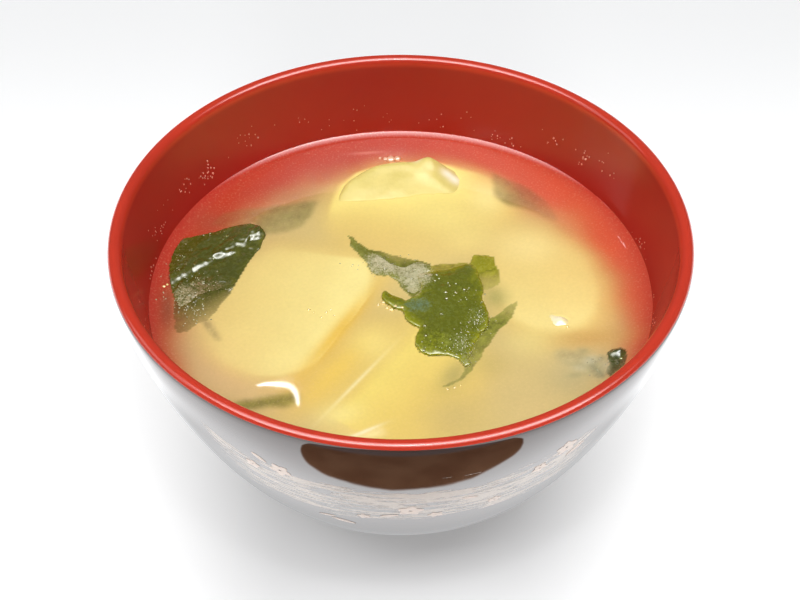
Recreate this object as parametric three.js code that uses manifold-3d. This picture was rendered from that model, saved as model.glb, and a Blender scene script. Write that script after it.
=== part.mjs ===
// Lacquered soup bowl with cloudy miso soup, potato chunks and wakame leaves.
// Millimetres, +Z up. The origin is the centre of the foot's underside, the viewer stands at -Y.

import * as THREE from 'three';
import { mergeVertices } from 'three/addons/utils/BufferGeometryUtils.js';
import Module from 'manifold-3d';

// Driving dimensions of the bowl
const rimRadius = 57.5;
const bowlHeight = 63;
const wallThickness = 2.7;
const lipRadius = wallThickness / 2;
const lipCentreHeight = bowlHeight - lipRadius;
const footRadius = 27;
const footHeight = 5.5;
const footTaper = 0.6;
const footRingWidth = 3.2;
const footRecess = 3.2;
const floorHeight = 9;
const lathePanels = 60;
const wallSteps = 8;
const lipSteps = 4;

// Pull points that give the wall its swell, outside and inside
const outerShoulder = [56.5, 45.4];
const outerBelly = [40, 5.2];
const innerShoulder = [46.5, 18];
const innerBelly = [33.5, floorHeight];

// Driving dimensions of the filling
const soupLevel = 45.7;
const gap = 0.3;
const leafThickness = 0.6;
const openAbove = 6;
const soupSteps = 12;
const shoreSteps = 400;

const lacquer = new THREE.MeshStandardMaterial({ color: '#b3261c', roughness: 0.18, metalness: 0 });
const broth = new THREE.MeshStandardMaterial({ color: '#dcc387', roughness: 0.08, metalness: 0 });
const potato = new THREE.MeshStandardMaterial({ color: '#f0df84', roughness: 0.45, metalness: 0 });
const wakame = new THREE.MeshStandardMaterial({ color: '#44601a', roughness: 0.3, metalness: 0 });

const wasm = await Module();
wasm.setup();

// ---------------------------------------------------------------- solids and meshes

// Keeps only the places of a geometry, merged, without the flat triangles at the poles of a turning.
function weld(geometry) {
  const bare = geometry.clone();
  bare.deleteAttribute('normal');
  bare.deleteAttribute('uv');
  const merged = mergeVertices(bare, 1e-4);
  const corners = merged.index.array;
  const kept = [];
  for (let i = 0; i < corners.length; i += 3) {
    const [a, b, c] = corners.slice(i, i + 3);
    if (a !== b && b !== c && c !== a) {
      kept.push(a, b, c);
    }
  }
  merged.setIndex(kept);
  return merged;
}

function toSolid(geometry) {
  const welded = weld(geometry);
  const vertProperties = new Float32Array(welded.attributes.position.array);
  const triVerts = new Uint32Array(welded.index.array);
  return new wasm.Manifold(new wasm.Mesh({ numProp: 3, vertProperties, triVerts }));
}

function toGeometry(solid) {
  const mesh = solid.getMesh();
  const geometry = new THREE.BufferGeometry();
  geometry.setAttribute('position', new THREE.BufferAttribute(mesh.vertProperties, 3));
  geometry.setIndex(new THREE.BufferAttribute(mesh.triVerts, 1));
  geometry.computeVertexNormals();
  return geometry;
}

function named(name, geometry, material) {
  const mesh = new THREE.Mesh(geometry, material);
  mesh.name = name;
  return mesh;
}

// Turns an outline of radius and height about the vertical axis.
function turned(profile) {
  const geometry = new THREE.LatheGeometry(profile, lathePanels);
  geometry.rotateX(Math.PI / 2);
  return geometry;
}

// ---------------------------------------------------------------- bowl

const outerWall = new THREE.CubicBezierCurve(
  new THREE.Vector2(footRadius, footHeight),
  new THREE.Vector2(...outerBelly),
  new THREE.Vector2(...outerShoulder),
  new THREE.Vector2(rimRadius, lipCentreHeight),
);

const innerWall = new THREE.CubicBezierCurve(
  new THREE.Vector2(0, floorHeight),
  new THREE.Vector2(...innerBelly),
  new THREE.Vector2(...innerShoulder),
  new THREE.Vector2(rimRadius - wallThickness, lipCentreHeight),
);

// Half a circle from the outer face over the top to the inner face.
function lipArc() {
  const centreRadius = rimRadius - lipRadius;
  const points = [];
  for (let i = 1; i < lipSteps; i += 1) {
    const angle = (Math.PI * i) / lipSteps;
    const radius = centreRadius + lipRadius * Math.cos(angle);
    points.push(new THREE.Vector2(radius, lipCentreHeight + lipRadius * Math.sin(angle)));
  }
  return points;
}

function bowlGeometry() {
  const recessRadius = footRadius - footRingWidth;
  const foot = [
    new THREE.Vector2(0, footRecess),
    new THREE.Vector2(recessRadius, footRecess),
    new THREE.Vector2(recessRadius, 0),
    new THREE.Vector2(footRadius - footTaper, 0),
  ];
  const profile = [
    ...foot,
    ...outerWall.getPoints(wallSteps),
    ...lipArc(),
    ...innerWall.getPoints(wallSteps).reverse(),
  ];
  return turned(profile);
}

// ---------------------------------------------------------------- potato chunks

// A potato is a lumpy ellipsoid; every flat face is a knife cut at a distance from its centre.
// Directions are given by azimuth (0 = +X, 90 = +Y) and elevation (90 = up), in degrees.
const potatoChunks = [
  {
    name: 'potato_back',
    centre: [3.5, 25, -8],
    radii: [22, 18, 16],
    azimuth: 0,
    cuts: [
      { azimuth: -83, elevation: 66, distance: 5.4 },
      { azimuth: 5, elevation: 72, distance: 10.6 },
    ],
  },
  {
    name: 'potato_left',
    centre: [-22, -4, -8],
    radii: [24, 16.5, 15],
    azimuth: 62,
    cuts: [
      { azimuth: -28, elevation: 4, distance: 13 },
      { azimuth: 165, elevation: 84, distance: 7.1 },
      { azimuth: 80, elevation: 20, distance: 17.5 },
    ],
  },
  {
    name: 'potato_front',
    centre: [-1, -26, -9],
    radii: [21, 17, 14],
    azimuth: 54,
    cuts: [
      { azimuth: 144, elevation: 52, distance: 9.4 },
      { azimuth: -36, elevation: 76, distance: 8.2 },
      { azimuth: -126, elevation: 10, distance: 15 },
    ],
  },
  {
    name: 'potato_right',
    centre: [30, 2, -12],
    radii: [20, 13.8, 15.5],
    azimuth: 98,
    cuts: [
      { azimuth: 95, elevation: 82, distance: 10.6 },
      { azimuth: -70, elevation: 20, distance: 17 },
    ],
  },
  {
    name: 'potato_sliver',
    centre: [-8.5, -39.5, -4],
    radii: [7.5, 3.6, 6],
    azimuth: 22,
    cuts: [
      { azimuth: 112, elevation: 40, distance: 3 },
      { azimuth: -68, elevation: 35, distance: 3 },
    ],
  },
];

const lumpSize = 0.035;
const lumpWaves = { along: 3, across: 4, up: 3, slant: 2 };
const lumpStart = 1;
const potatoDetail = 3;
const knifeBlock = 90;

function directionOf({ azimuth, elevation }) {
  const turn = THREE.MathUtils.degToRad(azimuth);
  const rise = THREE.MathUtils.degToRad(elevation);
  const flat = Math.cos(rise);
  return new THREE.Vector3(flat * Math.cos(turn), flat * Math.sin(turn), Math.sin(rise));
}

// How far the skin stands out of or into the ellipsoid at a point of the unit ball.
function lumpAt(point) {
  const ridges = Math.sin(lumpWaves.along * point.x + lumpStart) * Math.cos(lumpWaves.across * point.y);
  return lumpSize * (ridges + Math.sin(lumpWaves.up * point.z + lumpWaves.slant * point.x));
}

// A block whose face is the knife's cut, with all that is cut away inside it.
function knifeCut(cut, centre) {
  const direction = directionOf(cut);
  const block = new THREE.BoxGeometry(knifeBlock, knifeBlock, knifeBlock);
  block.applyQuaternion(new THREE.Quaternion().setFromUnitVectors(new THREE.Vector3(0, 0, 1), direction));
  const middle = centre.clone().addScaledVector(direction, cut.distance + knifeBlock / 2);
  block.translate(middle.x, middle.y, middle.z);
  return toSolid(block);
}

// The chunk as a solid, made larger by grow all round to cut its place into the soup.
function chunkSolid(chunk, grow) {
  const centre = new THREE.Vector3(chunk.centre[0], chunk.centre[1], soupLevel + chunk.centre[2]);
  const ball = weld(new THREE.IcosahedronGeometry(1, potatoDetail));
  const place = ball.attributes.position;
  const point = new THREE.Vector3();
  for (let i = 0; i < place.count; i += 1) {
    point.fromBufferAttribute(place, i);
    const swell = 1 + lumpAt(point);
    const stretch = chunk.radii.map((radius) => radius * swell + grow);
    place.setXYZ(i, point.x * stretch[0], point.y * stretch[1], point.z * stretch[2]);
  }
  ball.rotateZ(THREE.MathUtils.degToRad(chunk.azimuth));
  ball.translate(centre.x, centre.y, centre.z);
  let solid = toSolid(ball);
  for (const cut of chunk.cuts) {
    solid = solid.subtract(knifeCut({ ...cut, distance: cut.distance + grow }, centre));
  }
  return solid;
}

// ---------------------------------------------------------------- wakame leaves

// Each leaf has an outline round its middle, in the plane of the soup. It hangs over a ridge line:
// its height above the soup is lift on the ridge and drops by fall per millimetre on either side.
const wakameLeaves = [
  {
    name: 'wakame_left',
    middle: [-38.5, 5],
    outline: [
      [-48.1, 8.2], [-47.6, 10.9], [-46, 13.6], [-44.2, 14.7], [-38.6, 17], [-34.3, 18.5],
      [-31.2, 18.5], [-29.3, 17.2], [-28.6, 15.3], [-29.3, 13.1], [-30.6, 9.4], [-33.2, 2.7],
      [-34.2, -1.1], [-35.7, -4], [-37.9, -7.7], [-42.2, -10.8], [-44.7, -11.7], [-45.8, -7.7],
      [-46.8, -1.4],
    ],
    rings: 3,
    ridge: { through: [-37, 8], azimuth: 45, lift: 1.1, fallLeft: 0.03, fallRight: 0.14 },
    ripple: 0.3,
  },
  {
    name: 'wakame_centre',
    middle: [9.5, -5.5],
    outline: [
      [3.3, 3.6], [6.4, 6.3], [12, 7.1], [14.3, 7.2], [15.9, 5.7], [15.5, 3.3], [16.2, 1],
      [16.4, -2.8], [17.7, -6.9], [17.8, -10.9], [14.9, -15], [13.5, -18.4], [12.7, -21.4],
      [9.6, -20], [5.8, -19.4], [3.8, -18.7], [3, -17.5], [2.7, -15.4], [3.5, -12.9], [1.3, -9.7],
      [-2, -6.4], [-3.8, -3.5], [-3, -1.7], [0.3, -3.4], [3.5, -2.4],
    ],
    rings: 3,
    ridge: { through: [9, -2], azimuth: 95, lift: 0.8, fallLeft: 0.03, fallRight: 0.06 },
    ripple: 0.3,
  },
  {
    name: 'wakame_lobe',
    middle: [18.4, 4.5],
    outline: [
      [17, 9.6], [19.1, 8.8], [19.5, 6.8], [20.1, 4.4], [20.1, 2], [19.6, -0.8], [18, -1.2],
      [17, 1.1], [16.9, 5.8],
    ],
    rings: 2,
    ridge: { through: [18, 9], azimuth: 10, lift: 0.6, fallLeft: 0.05, fallRight: 0.12 },
    ripple: 0.1,
  },
  {
    name: 'wakame_middle',
    middle: [-3, 6.9],
    outline: [
      [-11.2, 16.2], [-9.3, 13.8], [-7, 11.6], [-3.9, 10.4], [0.3, 9.3], [4.2, 7.6], [2.5, 3.9],
      [2.5, 0], [1.5, -1.4], [0.1, 0.8], [-1, 2.9], [-3, 3.7], [-6.1, 4], [-7.2, 7.1], [-9.4, 11.6],
    ],
    rings: 2,
    ridge: { through: [-7, 11], azimuth: -42, lift: 0.6, fallLeft: 0.05, fallRight: 0.08 },
    ripple: 0.1,
  },
  {
    name: 'wakame_front',
    middle: [-25.5, -31],
    outline: [
      [-32.2, -31.3], [-29.1, -30.5], [-25.3, -29.8], [-22, -29], [-20.8, -29.2], [-21, -30.9],
      [-26.2, -32.7], [-28.9, -33.4],
    ],
    rings: 2,
    ridge: { through: [-26, -30], azimuth: 14, lift: 0.5, fallLeft: 0.1, fallRight: 0.25 },
    ripple: 0.1,
  },
  {
    name: 'wakame_edge',
    middle: [42.4, -20.8],
    outline: [
      [42.5, -17], [43.9, -17], [44.1, -19.6], [43.7, -22.2], [42.6, -23.9], [41.2, -25.2],
      [40.5, -23.9], [40.9, -20.5], [41.3, -18.3],
    ],
    rings: 2,
    ridge: { through: [43, -19], azimuth: 70, lift: 0.6, fallLeft: 0.2, fallRight: 0.05 },
    ripple: 0.1,
  },
];

const rippleLength = 7;
const rippleSlant = 0.4;
const ridgeSoftness = 2;

function leafHeight(leaf, x, y) {
  const turn = THREE.MathUtils.degToRad(leaf.ridge.azimuth);
  const [ridgeX, ridgeY] = leaf.ridge.through;
  const side = (y - ridgeY) * Math.cos(turn) - (x - ridgeX) * Math.sin(turn);
  const fall = side > 0 ? leaf.ridge.fallLeft : leaf.ridge.fallRight;
  const drop = fall * (Math.hypot(side, ridgeSoftness) - ridgeSoftness);
  const acrossWaves = ((x + rippleSlant * y) / rippleLength) * Math.PI;
  const alongWaves = (y / rippleLength) * Math.PI;
  return leaf.ridge.lift - drop + leaf.ripple * Math.sin(acrossWaves) * Math.cos(alongWaves);
}

// The triangles between two stacks of rings round a middle point, the first stack on top.
function sheetFaces(rings, steps) {
  const perSide = 1 + rings * steps;
  const at = (side, ring, step) => side * perSide + 1 + (ring - 1) * steps + (step % steps);
  const faces = [];
  for (let step = 0; step < steps; step += 1) {
    faces.push(0, at(0, 1, step), at(0, 1, step + 1));
    faces.push(perSide, at(1, 1, step + 1), at(1, 1, step));
    for (let ring = 1; ring < rings; ring += 1) {
      faces.push(at(0, ring, step), at(0, ring + 1, step), at(0, ring + 1, step + 1));
      faces.push(at(0, ring, step), at(0, ring + 1, step + 1), at(0, ring, step + 1));
      faces.push(at(1, ring, step), at(1, ring + 1, step + 1), at(1, ring + 1, step));
      faces.push(at(1, ring, step), at(1, ring, step + 1), at(1, ring + 1, step + 1));
    }
    faces.push(at(0, rings, step), at(1, rings, step), at(1, rings, step + 1));
    faces.push(at(0, rings, step), at(1, rings, step + 1), at(0, rings, step + 1));
  }
  return faces;
}

// A thin sheet between a lower and an upper height rule. Outlines drawn clockwise would turn it
// inside out, so their faces are flipped.
function leafSheet(leaf, grow, lowerHeight, upperHeight) {
  const [middleX, middleY] = leaf.middle;
  const places = [];
  for (const heightRule of [upperHeight, lowerHeight]) {
    places.push(middleX, middleY, soupLevel + heightRule(middleX, middleY));
    for (let ring = 1; ring <= leaf.rings; ring += 1) {
      for (const [cornerX, cornerY] of leaf.outline) {
        const outX = cornerX - middleX;
        const outY = cornerY - middleY;
        const reach = (ring / leaf.rings) * (1 + grow / Math.hypot(outX, outY));
        const x = middleX + outX * reach;
        const y = middleY + outY * reach;
        places.push(x, y, soupLevel + heightRule(x, y));
      }
    }
  }
  const faces = sheetFaces(leaf.rings, leaf.outline.length);
  if (THREE.ShapeUtils.isClockWise(leaf.outline.map(([x, y]) => new THREE.Vector2(x, y)))) {
    faces.reverse();
  }
  const geometry = new THREE.BufferGeometry();
  geometry.setAttribute('position', new THREE.Float32BufferAttribute(places, 3));
  geometry.setIndex(faces);
  return geometry;
}

function leafSolid(leaf) {
  const lower = (x, y) => leafHeight(leaf, x, y) - leafThickness / 2;
  const upper = (x, y) => leafHeight(leaf, x, y) + leafThickness / 2;
  return toSolid(leafSheet(leaf, 0, lower, upper));
}

// The place that a leaf takes in the soup, open to the air above it.
function leafPlace(leaf) {
  const lower = (x, y) => leafHeight(leaf, x, y) - leafThickness / 2 - gap;
  const upper = () => openAbove;
  return toSolid(leafSheet(leaf, gap, lower, upper));
}

// ---------------------------------------------------------------- soup

// The soup fills the bowl's inside up to its level, just clear of the wall.
function soupSolid() {
  const profile = [new THREE.Vector2(0, floorHeight + gap)];
  for (let i = 1; i < soupSteps; i += 1) {
    const tangent = innerWall.getTangent(i / soupSteps);
    const inward = new THREE.Vector2(-tangent.y, tangent.x);
    const point = innerWall.getPoint(i / soupSteps).addScaledVector(inward, gap);
    if (point.y < soupLevel) {
      profile.push(point);
    }
  }
  const shore = innerWall.getPoints(shoreSteps).find((point) => point.y >= soupLevel);
  profile.push(new THREE.Vector2(shore.x - gap, soupLevel));
  profile.push(new THREE.Vector2(0, soupLevel));
  return toSolid(turned(profile));
}

// ---------------------------------------------------------------- assembly

const object = new THREE.Group();
object.add(named('bowl', bowlGeometry(), lacquer));

let soup = soupSolid();
for (const chunk of potatoChunks) {
  soup = soup.subtract(chunkSolid(chunk, gap));
}
for (const leaf of wakameLeaves) {
  soup = soup.subtract(leafPlace(leaf));
}
object.add(named('soup', toGeometry(soup), broth));

// A chunk lies against the leaves over it and against the chunks named before it.
potatoChunks.forEach((chunk, index) => {
  let solid = chunkSolid(chunk, 0);
  for (const leaf of wakameLeaves) {
    solid = solid.subtract(leafPlace(leaf));
  }
  for (const neighbour of potatoChunks.slice(0, index)) {
    solid = solid.subtract(chunkSolid(neighbour, gap));
  }
  object.add(named(chunk.name, toGeometry(solid), potato));
});

for (const leaf of wakameLeaves) {
  object.add(named(leaf.name, toGeometry(leafSolid(leaf)), wakame));
}

export default object;
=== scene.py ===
import math
import random

import bmesh
import bpy
import numpy as np
from mathutils import Matrix, Vector, noise
from mathutils.bvhtree import BVHTree
from mathutils.geometry import interpolate_bezier
from mathutils.kdtree import KDTree


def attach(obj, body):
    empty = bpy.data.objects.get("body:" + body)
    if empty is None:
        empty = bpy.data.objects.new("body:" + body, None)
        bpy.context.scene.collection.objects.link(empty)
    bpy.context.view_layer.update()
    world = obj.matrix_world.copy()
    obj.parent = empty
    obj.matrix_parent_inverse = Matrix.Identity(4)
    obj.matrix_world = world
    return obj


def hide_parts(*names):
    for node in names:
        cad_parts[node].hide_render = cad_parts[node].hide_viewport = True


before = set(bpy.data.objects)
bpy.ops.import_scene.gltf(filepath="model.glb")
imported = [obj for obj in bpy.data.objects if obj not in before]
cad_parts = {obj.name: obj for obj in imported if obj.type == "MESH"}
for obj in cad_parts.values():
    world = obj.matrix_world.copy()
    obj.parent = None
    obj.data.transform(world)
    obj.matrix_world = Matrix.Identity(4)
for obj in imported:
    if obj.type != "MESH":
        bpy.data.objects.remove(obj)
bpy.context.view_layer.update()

# ------------ camera
# The viewer stands in front of the bowl, at -Y, and looks down into it at about 44 degrees.
# The lens and the place were found from the rim's ellipse and the soup's edge.
camera_data = bpy.data.cameras.new("camera")
camera_data.lens = 72.06
camera_data.sensor_width = 36.0
camera = bpy.data.objects.new("camera", camera_data)
camera.location = (-0.00015, -0.2356, 0.27297)
camera.rotation_euler = (math.radians(45.583), 0.0, 0.0)
bpy.context.scene.collection.objects.link(camera)
bpy.context.scene.camera = camera
bpy.context.scene.view_settings.view_transform = "Standard"

# ------------ table and light
# The bowl stands on a white tabletop with its front edge just before it, in a white room.
# A long tube lamp hangs over the table, a small bright lamp beside it, and a weak light stands at
# the left.
MM = 0.001


def linear(red, green, blue):
    """A colour given as 0 to 255 on the screen, as the light it stands for."""
    parts = [value / 255 for value in (red, green, blue)]
    return [p / 12.92 if p <= 0.04045 else ((p + 0.055) / 1.055) ** 2.4 for p in parts] + [1.0]


def add(tree, kind, inputs, **settings):
    """A new shader node, whose inputs are set to values or joined to other nodes' outputs."""
    made = tree.nodes.new("ShaderNode" + kind)
    for key, value in settings.items():
        setattr(made, key, value)
    for key, value in inputs.items():
        if isinstance(value, bpy.types.NodeSocket):
            tree.links.new(value, made.inputs[key])
        else:
            made.inputs[key].default_value = value
    return made


def calc(tree, operation, *values):
    return add(tree, "Math", dict(enumerate(values)), operation=operation).outputs[0]


def remap(tree, value, low, high, to_low=0.0, to_high=1.0):
    """Eases a value from one range into another and holds it at the ends."""
    limits = {"Value": value, "From Min": low, "From Max": high, "To Min": to_low, "To Max": to_high}
    return add(tree, "MapRange", limits, interpolation_type="SMOOTHSTEP").outputs[0]


def mix(tree, factor, first, second):
    """Two colours mixed by a factor."""
    return add(tree, "Mix", {0: factor, 6: first, 7: second}, data_type="RGBA").outputs[2]


def material(name, **constants):
    """A new material and its tree and Principled shader, with plain values set on the shader."""
    made = bpy.data.materials.new(name)
    made.use_nodes = True
    shader = made.node_tree.nodes["Principled BSDF"]
    for key, value in constants.items():
        shader.inputs[key.replace("_", " ")].default_value = value
    return made, made.node_tree, shader


def feed(tree, shader, **outputs):
    """Joins node outputs to the shader's inputs."""
    for key, output in outputs.items():
        tree.links.new(output, shader.inputs[key.replace("_", " ")])


def place_on(tree):
    """The place on the piece's own mesh that is being shaded."""
    return add(tree, "TexCoord", {}).outputs["Object"]


def split(tree, spot):
    """The x, y and z of a place."""
    return add(tree, "SeparateXYZ", {0: spot}).outputs


def noisy(tree, spot, scale, detail, **more):
    """A noise over the surface, from 0 to 1."""
    return add(tree, "TexNoise", {"Vector": spot, "Scale": scale, "Detail": detail, **more}).outputs[0]


def shown(name, built, smooth=False):
    """A new object in the scene made from a bmesh, which is used up."""
    for face in built.faces:
        face.smooth = smooth
    mesh = bpy.data.meshes.new(name)
    built.to_mesh(mesh)
    built.free()
    made = bpy.data.objects.new(name, mesh)
    bpy.context.scene.collection.objects.link(made)
    return made


table_half = 1.5
table_bm = bmesh.new()
bmesh.ops.create_grid(table_bm, x_segments=1, y_segments=1, size=table_half)
table = shown("table_top", table_bm)

# The table's front edge lies 60 mm before the bowl's middle. What is mirrored in the bowl's outside is a
# painted reflection: to gloss alone the table glows, bright up to the edge, with painted shade under the
# bowl, and a brown thing before it beyond.
table_edge = -60 * MM
edge_middle = 6 * MM
edge_reach = 48 * MM
edge_bend = 15 * MM
edge_wobble = 5 * MM
bright_table = 2.7
shaded_table = 0.87
painted_bounce_glow = 0.31
table_paint, tree, shader = material("table_white", Base_Color=(0.60, 0.604, 0.610, 1.0), Roughness=0.6,
                                     Specular_IOR_Level=0.2, Emission_Strength=1.0)
spot = place_on(tree)
across, along, _ = split(tree, spot)
from_middle = calc(tree, "SQRT", calc(tree, "ADD", calc(tree, "MULTIPLY", across, across),
                                      calc(tree, "MULTIPLY", along, along)))
beside = calc(tree, "MULTIPLY", remap(tree, calc(tree, "ABSOLUTE", across), 22 * MM, 62 * MM),
              remap(tree, along, 0.0, 170 * MM, 1.0, 0.1))
# The tabletop glows with painted bounce light, twice as strong beside the bowl and fading towards the back.
feed(tree, shader, Emission_Color=calc(tree, "MULTIPLY_ADD", beside, painted_bounce_glow, painted_bounce_glow))
# painted shade under the bowl in the glow that only gloss sees
shade_painted_under_bowl = remap(tree, from_middle, 56 * MM, 74 * MM, 0.42, 0.85)
lit = calc(tree, "MULTIPLY", remap(tree, from_middle, 28 * MM, 60 * MM, shaded_table, bright_table),
           remap(tree, along, -52 * MM, -8 * MM, 1.0, shade_painted_under_bowl))
off_side = calc(tree, "ABSOLUTE", calc(tree, "SUBTRACT", across, edge_middle))
to_side = calc(tree, "DIVIDE", off_side, edge_reach)
edge_here = calc(tree, "MULTIPLY_ADD", calc(tree, "POWER", to_side, 8.0), -edge_bend, table_edge)
uneven = noisy(tree, spot, 45.0, 3.0)
edge_here = calc(tree, "ADD", edge_here,
                 calc(tree, "MULTIPLY_ADD", uneven, edge_wobble, -edge_wobble / 2))
over_edge = remap(tree, calc(tree, "SUBTRACT", along, edge_here), -1.0 * MM, 1.0 * MM)
wood = mix(tree, remap(tree, uneven, 0.35, 0.65), linear(164, 116, 84), linear(200, 150, 114))
beyond = mix(tree, remap(tree, along, -100 * MM, -88 * MM), linear(170, 170, 175), wood)
# painted reflection: the glow that gloss sees in place of the table
painted_reflection = add(tree, "Emission", {
    "Strength": calc(tree, "MULTIPLY_ADD", over_edge, calc(tree, "SUBTRACT", lit, 1.0), 1.0),
    "Color": mix(tree, over_edge, beyond, (0.97, 0.985, 1.0, 1.0))})
in_gloss = add(tree, "LightPath", {}).outputs["Is Glossy Ray"]
either = add(tree, "MixShader", {0: in_gloss, 1: shader.outputs[0], 2: painted_reflection.outputs[0]})
tree.links.new(either.outputs[0], tree.nodes["Material Output"].inputs["Surface"])
table.data.materials.append(table_paint)

world = bpy.data.worlds.new("white_room")
bpy.context.scene.world = world
world.use_nodes = True
background = world.node_tree.nodes["Background"]
background.inputs["Color"].default_value = (0.97, 0.985, 1.0, 1.0)
background.inputs["Strength"].default_value = 0.17


def soft_light(name, place, aim, width, depth, power):
    """A rectangular soft light at a place, turned to its aim."""
    data = bpy.data.lights.new(name, "AREA")
    data.shape = "RECTANGLE"
    data.size = width
    data.size_y = depth
    data.energy = power
    lamp = bpy.data.objects.new(name, data)
    lamp.location = place
    lamp.rotation_euler = (Vector(aim) - Vector(place)).to_track_quat("-Z", "Y").to_euler()
    bpy.context.scene.collection.objects.link(lamp)


soft_light("overhead", (0.06, -0.225, 0.80), (0.0, 0.0, 0.04), 1.3, 0.35, 7.4)
soft_light("small_lamp", (0.03, -0.27, 0.78), (0.0, 0.0, 0.04), 0.09, 0.05, 0.6)
soft_light("left_fill", (-0.75, 0.05, 0.50), (0.0, 0.0, 0.03), 0.5, 0.4, 1.3)


def shine(name, corners, strength):
    """A bright flat shape in the room that is seen only as a gloss on wet and polished things."""
    card = bmesh.new()
    card.faces.new([card.verts.new(Vector(corner) * MM) for corner in corners])
    made = shown(name, card)
    glow, tree, shader = material(name + "_glow", Base_Color=(0.0, 0.0, 0.0, 1.0),
                                  Emission_Color=(1.0, 1.0, 1.0, 1.0), Emission_Strength=strength)
    made.data.materials.append(glow)
    made.visible_camera = made.visible_diffuse = made.visible_shadow = False
    return tree, shader


# Shapes that glow only to gloss and paint highlights: the lamp's own bright face, which fades towards its
# long edges, and a bent lamp arm behind the bowl, which paints the bent glint on the soup.
lamp_middle = -290 * MM
lamp_half = 560 * MM
lamp_corners = [(-800, -850, 820), (900, -850, 820), (900, 270, 820), (-800, 270, 820)]
tree, shader = shine("lamp_face", lamp_corners, 11.5)
off_middle = calc(tree, "ABSOLUTE", calc(tree, "SUBTRACT", split(tree, place_on(tree))[1], lamp_middle))
feed(tree, shader, Emission_Color=remap(tree, off_middle, 0.0, lamp_half, 1.0, 0.0))
arm_outline = [
    (-100, 639.8), (-96, 637.2), (-90.4, 636), (-83.5, 636), (-78.4, 637), (-74.8, 640.6), (-72.2, 645.6),
    (-71.7, 651.4), (-72.2, 657), (-73.6, 661.6), (-74.2, 657), (-74.6, 651.6), (-75.6, 646.6), (-78, 643.2),
    (-83.9, 641.8), (-90.9, 641.2), (-96.4, 640.8)]
shine("lamp_arm", [(x, 520.0, z) for x, z in arm_outline], 24.0)

# ------------ bowl
# A turned bowl on a low foot: red lacquer inside and over the round lip, dark brown lacquer
# outside. Both are wiped on thin over the turned core and polished to a gloss.
rim_radius = 57.5
bowl_height = 63.0
wall_thickness = 2.7
lip_radius = wall_thickness / 2
lip_height = bowl_height - lip_radius
foot_radius = 27.0
foot_height = 5.5
foot_taper = 0.6
foot_ring = 3.2
foot_recess = 3.2
floor_height = 9.0
outer_pull = [(40.0, 5.2), (56.5, 45.4)]
inner_pull = [(33.5, 9.0), (46.5, 18.0)]
wall_points = 44
lip_points = 16
turn_steps = 224
red_ends_at = 2


def wall_curve(start, pulls, end):
    """Points in millimetres of radius and height along one face of the wall."""
    corners = [Vector((r, z, 0.0)) for r, z in [start, *pulls, end]]
    return [(p.x, p.y) for p in interpolate_bezier(*corners, wall_points)]


outer_face = wall_curve((foot_radius, foot_height), outer_pull, (rim_radius, lip_height))
inner_face = wall_curve((0.0, floor_height), inner_pull, (rim_radius - wall_thickness, lip_height))
lip_face = []
for step in range(1, lip_points):
    angle = math.pi * step / lip_points
    lip_face.append((rim_radius - lip_radius + lip_radius * math.cos(angle),
                     lip_height + lip_radius * math.sin(angle)))
recess_radius = foot_radius - foot_ring
foot_face = [(0.0, foot_recess), (recess_radius, foot_recess), (recess_radius, 0.0),
             (foot_radius - foot_taper, 0.0)]
foot_round = 0.35
outline = foot_face + outer_face + lip_face + inner_face[::-1]
red_from = len(foot_face) + len(outer_face) + red_ends_at - 1

bowl_bm = bmesh.new()
ring = [bowl_bm.verts.new((r * MM, 0.0, z * MM)) for r, z in outline]
for first, second in zip(ring, ring[1:]):
    bowl_bm.edges.new((first, second))
bmesh.ops.spin(bowl_bm, geom=bowl_bm.verts[:] + bowl_bm.edges[:], cent=(0, 0, 0), axis=(0, 0, 1),
               dvec=(0, 0, 0), angle=2 * math.pi, steps=turn_steps, use_merge=True)
bmesh.ops.remove_doubles(bowl_bm, verts=bowl_bm.verts, dist=1e-6)
bmesh.ops.recalc_face_normals(bowl_bm, faces=bowl_bm.faces)
foot_edges = [edge for edge in bowl_bm.edges
              if max(v.co.z for v in edge.verts) < (foot_height + 0.1) * MM
              and edge.calc_face_angle(0.0) > math.radians(30)]
bmesh.ops.bevel(bowl_bm, geom=foot_edges, offset=foot_round * MM, offset_type="OFFSET", segments=3,
                profile=0.5, affect="EDGES", material=-1, clamp_overlap=True)
red_height = outline[red_from][1]
for face in bowl_bm.faces:
    middle = face.calc_center_median()
    over_lip = middle.z > red_height * MM
    facing_out = face.normal.x * middle.x + face.normal.y * middle.y > 0
    inside = not facing_out and face.normal.z > 0 and middle.z > (floor_height - 1) * MM
    face.material_index = 0 if over_lip or inside else 1
bowl = shown("lacquer_bowl", bowl_bm, smooth=True)

# Cloudiness of a colour and small unevenness of a surface, in every material of the bowl and food.
mottle = bpy.data.node_groups.new("mottle", "ShaderNodeTree")
sockets = [("Scale", "INPUT", "Float"), ("Contrast", "INPUT", "Float"), ("Color", "INPUT", "Color"),
           ("Color", "OUTPUT", "Color"), ("Height", "OUTPUT", "Float")]
for label, side, kind in sockets:
    mottle.interface.new_socket(label, in_out=side, socket_type="NodeSocket" + kind)
given = mottle.nodes.new("NodeGroupInput").outputs
result = mottle.nodes.new("NodeGroupOutput").inputs
coarse = noisy(mottle, place_on(mottle), given["Scale"], 5.0)
swing = calc(mottle, "MULTIPLY", calc(mottle, "SUBTRACT", coarse, 0.5), given["Contrast"])
shaded = add(mottle, "HueSaturation", {"Value": calc(mottle, "MULTIPLY_ADD", swing, 2.0, 1.0),
                                       "Color": given["Color"]})
mottle.links.new(shaded.outputs[0], result["Color"])
mottle.links.new(coarse, result["Height"])


def mottled(tree, colour, scale, contrast):
    """Places the mottle group with its own values and gives its colour and height outputs."""
    placed = add(tree, "Group", {"Scale": scale, "Contrast": contrast, "Color": colour}, node_tree=mottle)
    return placed.outputs["Color"], placed.outputs["Height"]


def bumped(tree, shader, height, strength, distance):
    """Feeds a height to the shader's normal through a Bump node."""
    made = add(tree, "Bump", {"Height": height, "Strength": strength, "Distance": distance})
    feed(tree, shader, Normal=made.outputs[0])


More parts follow.
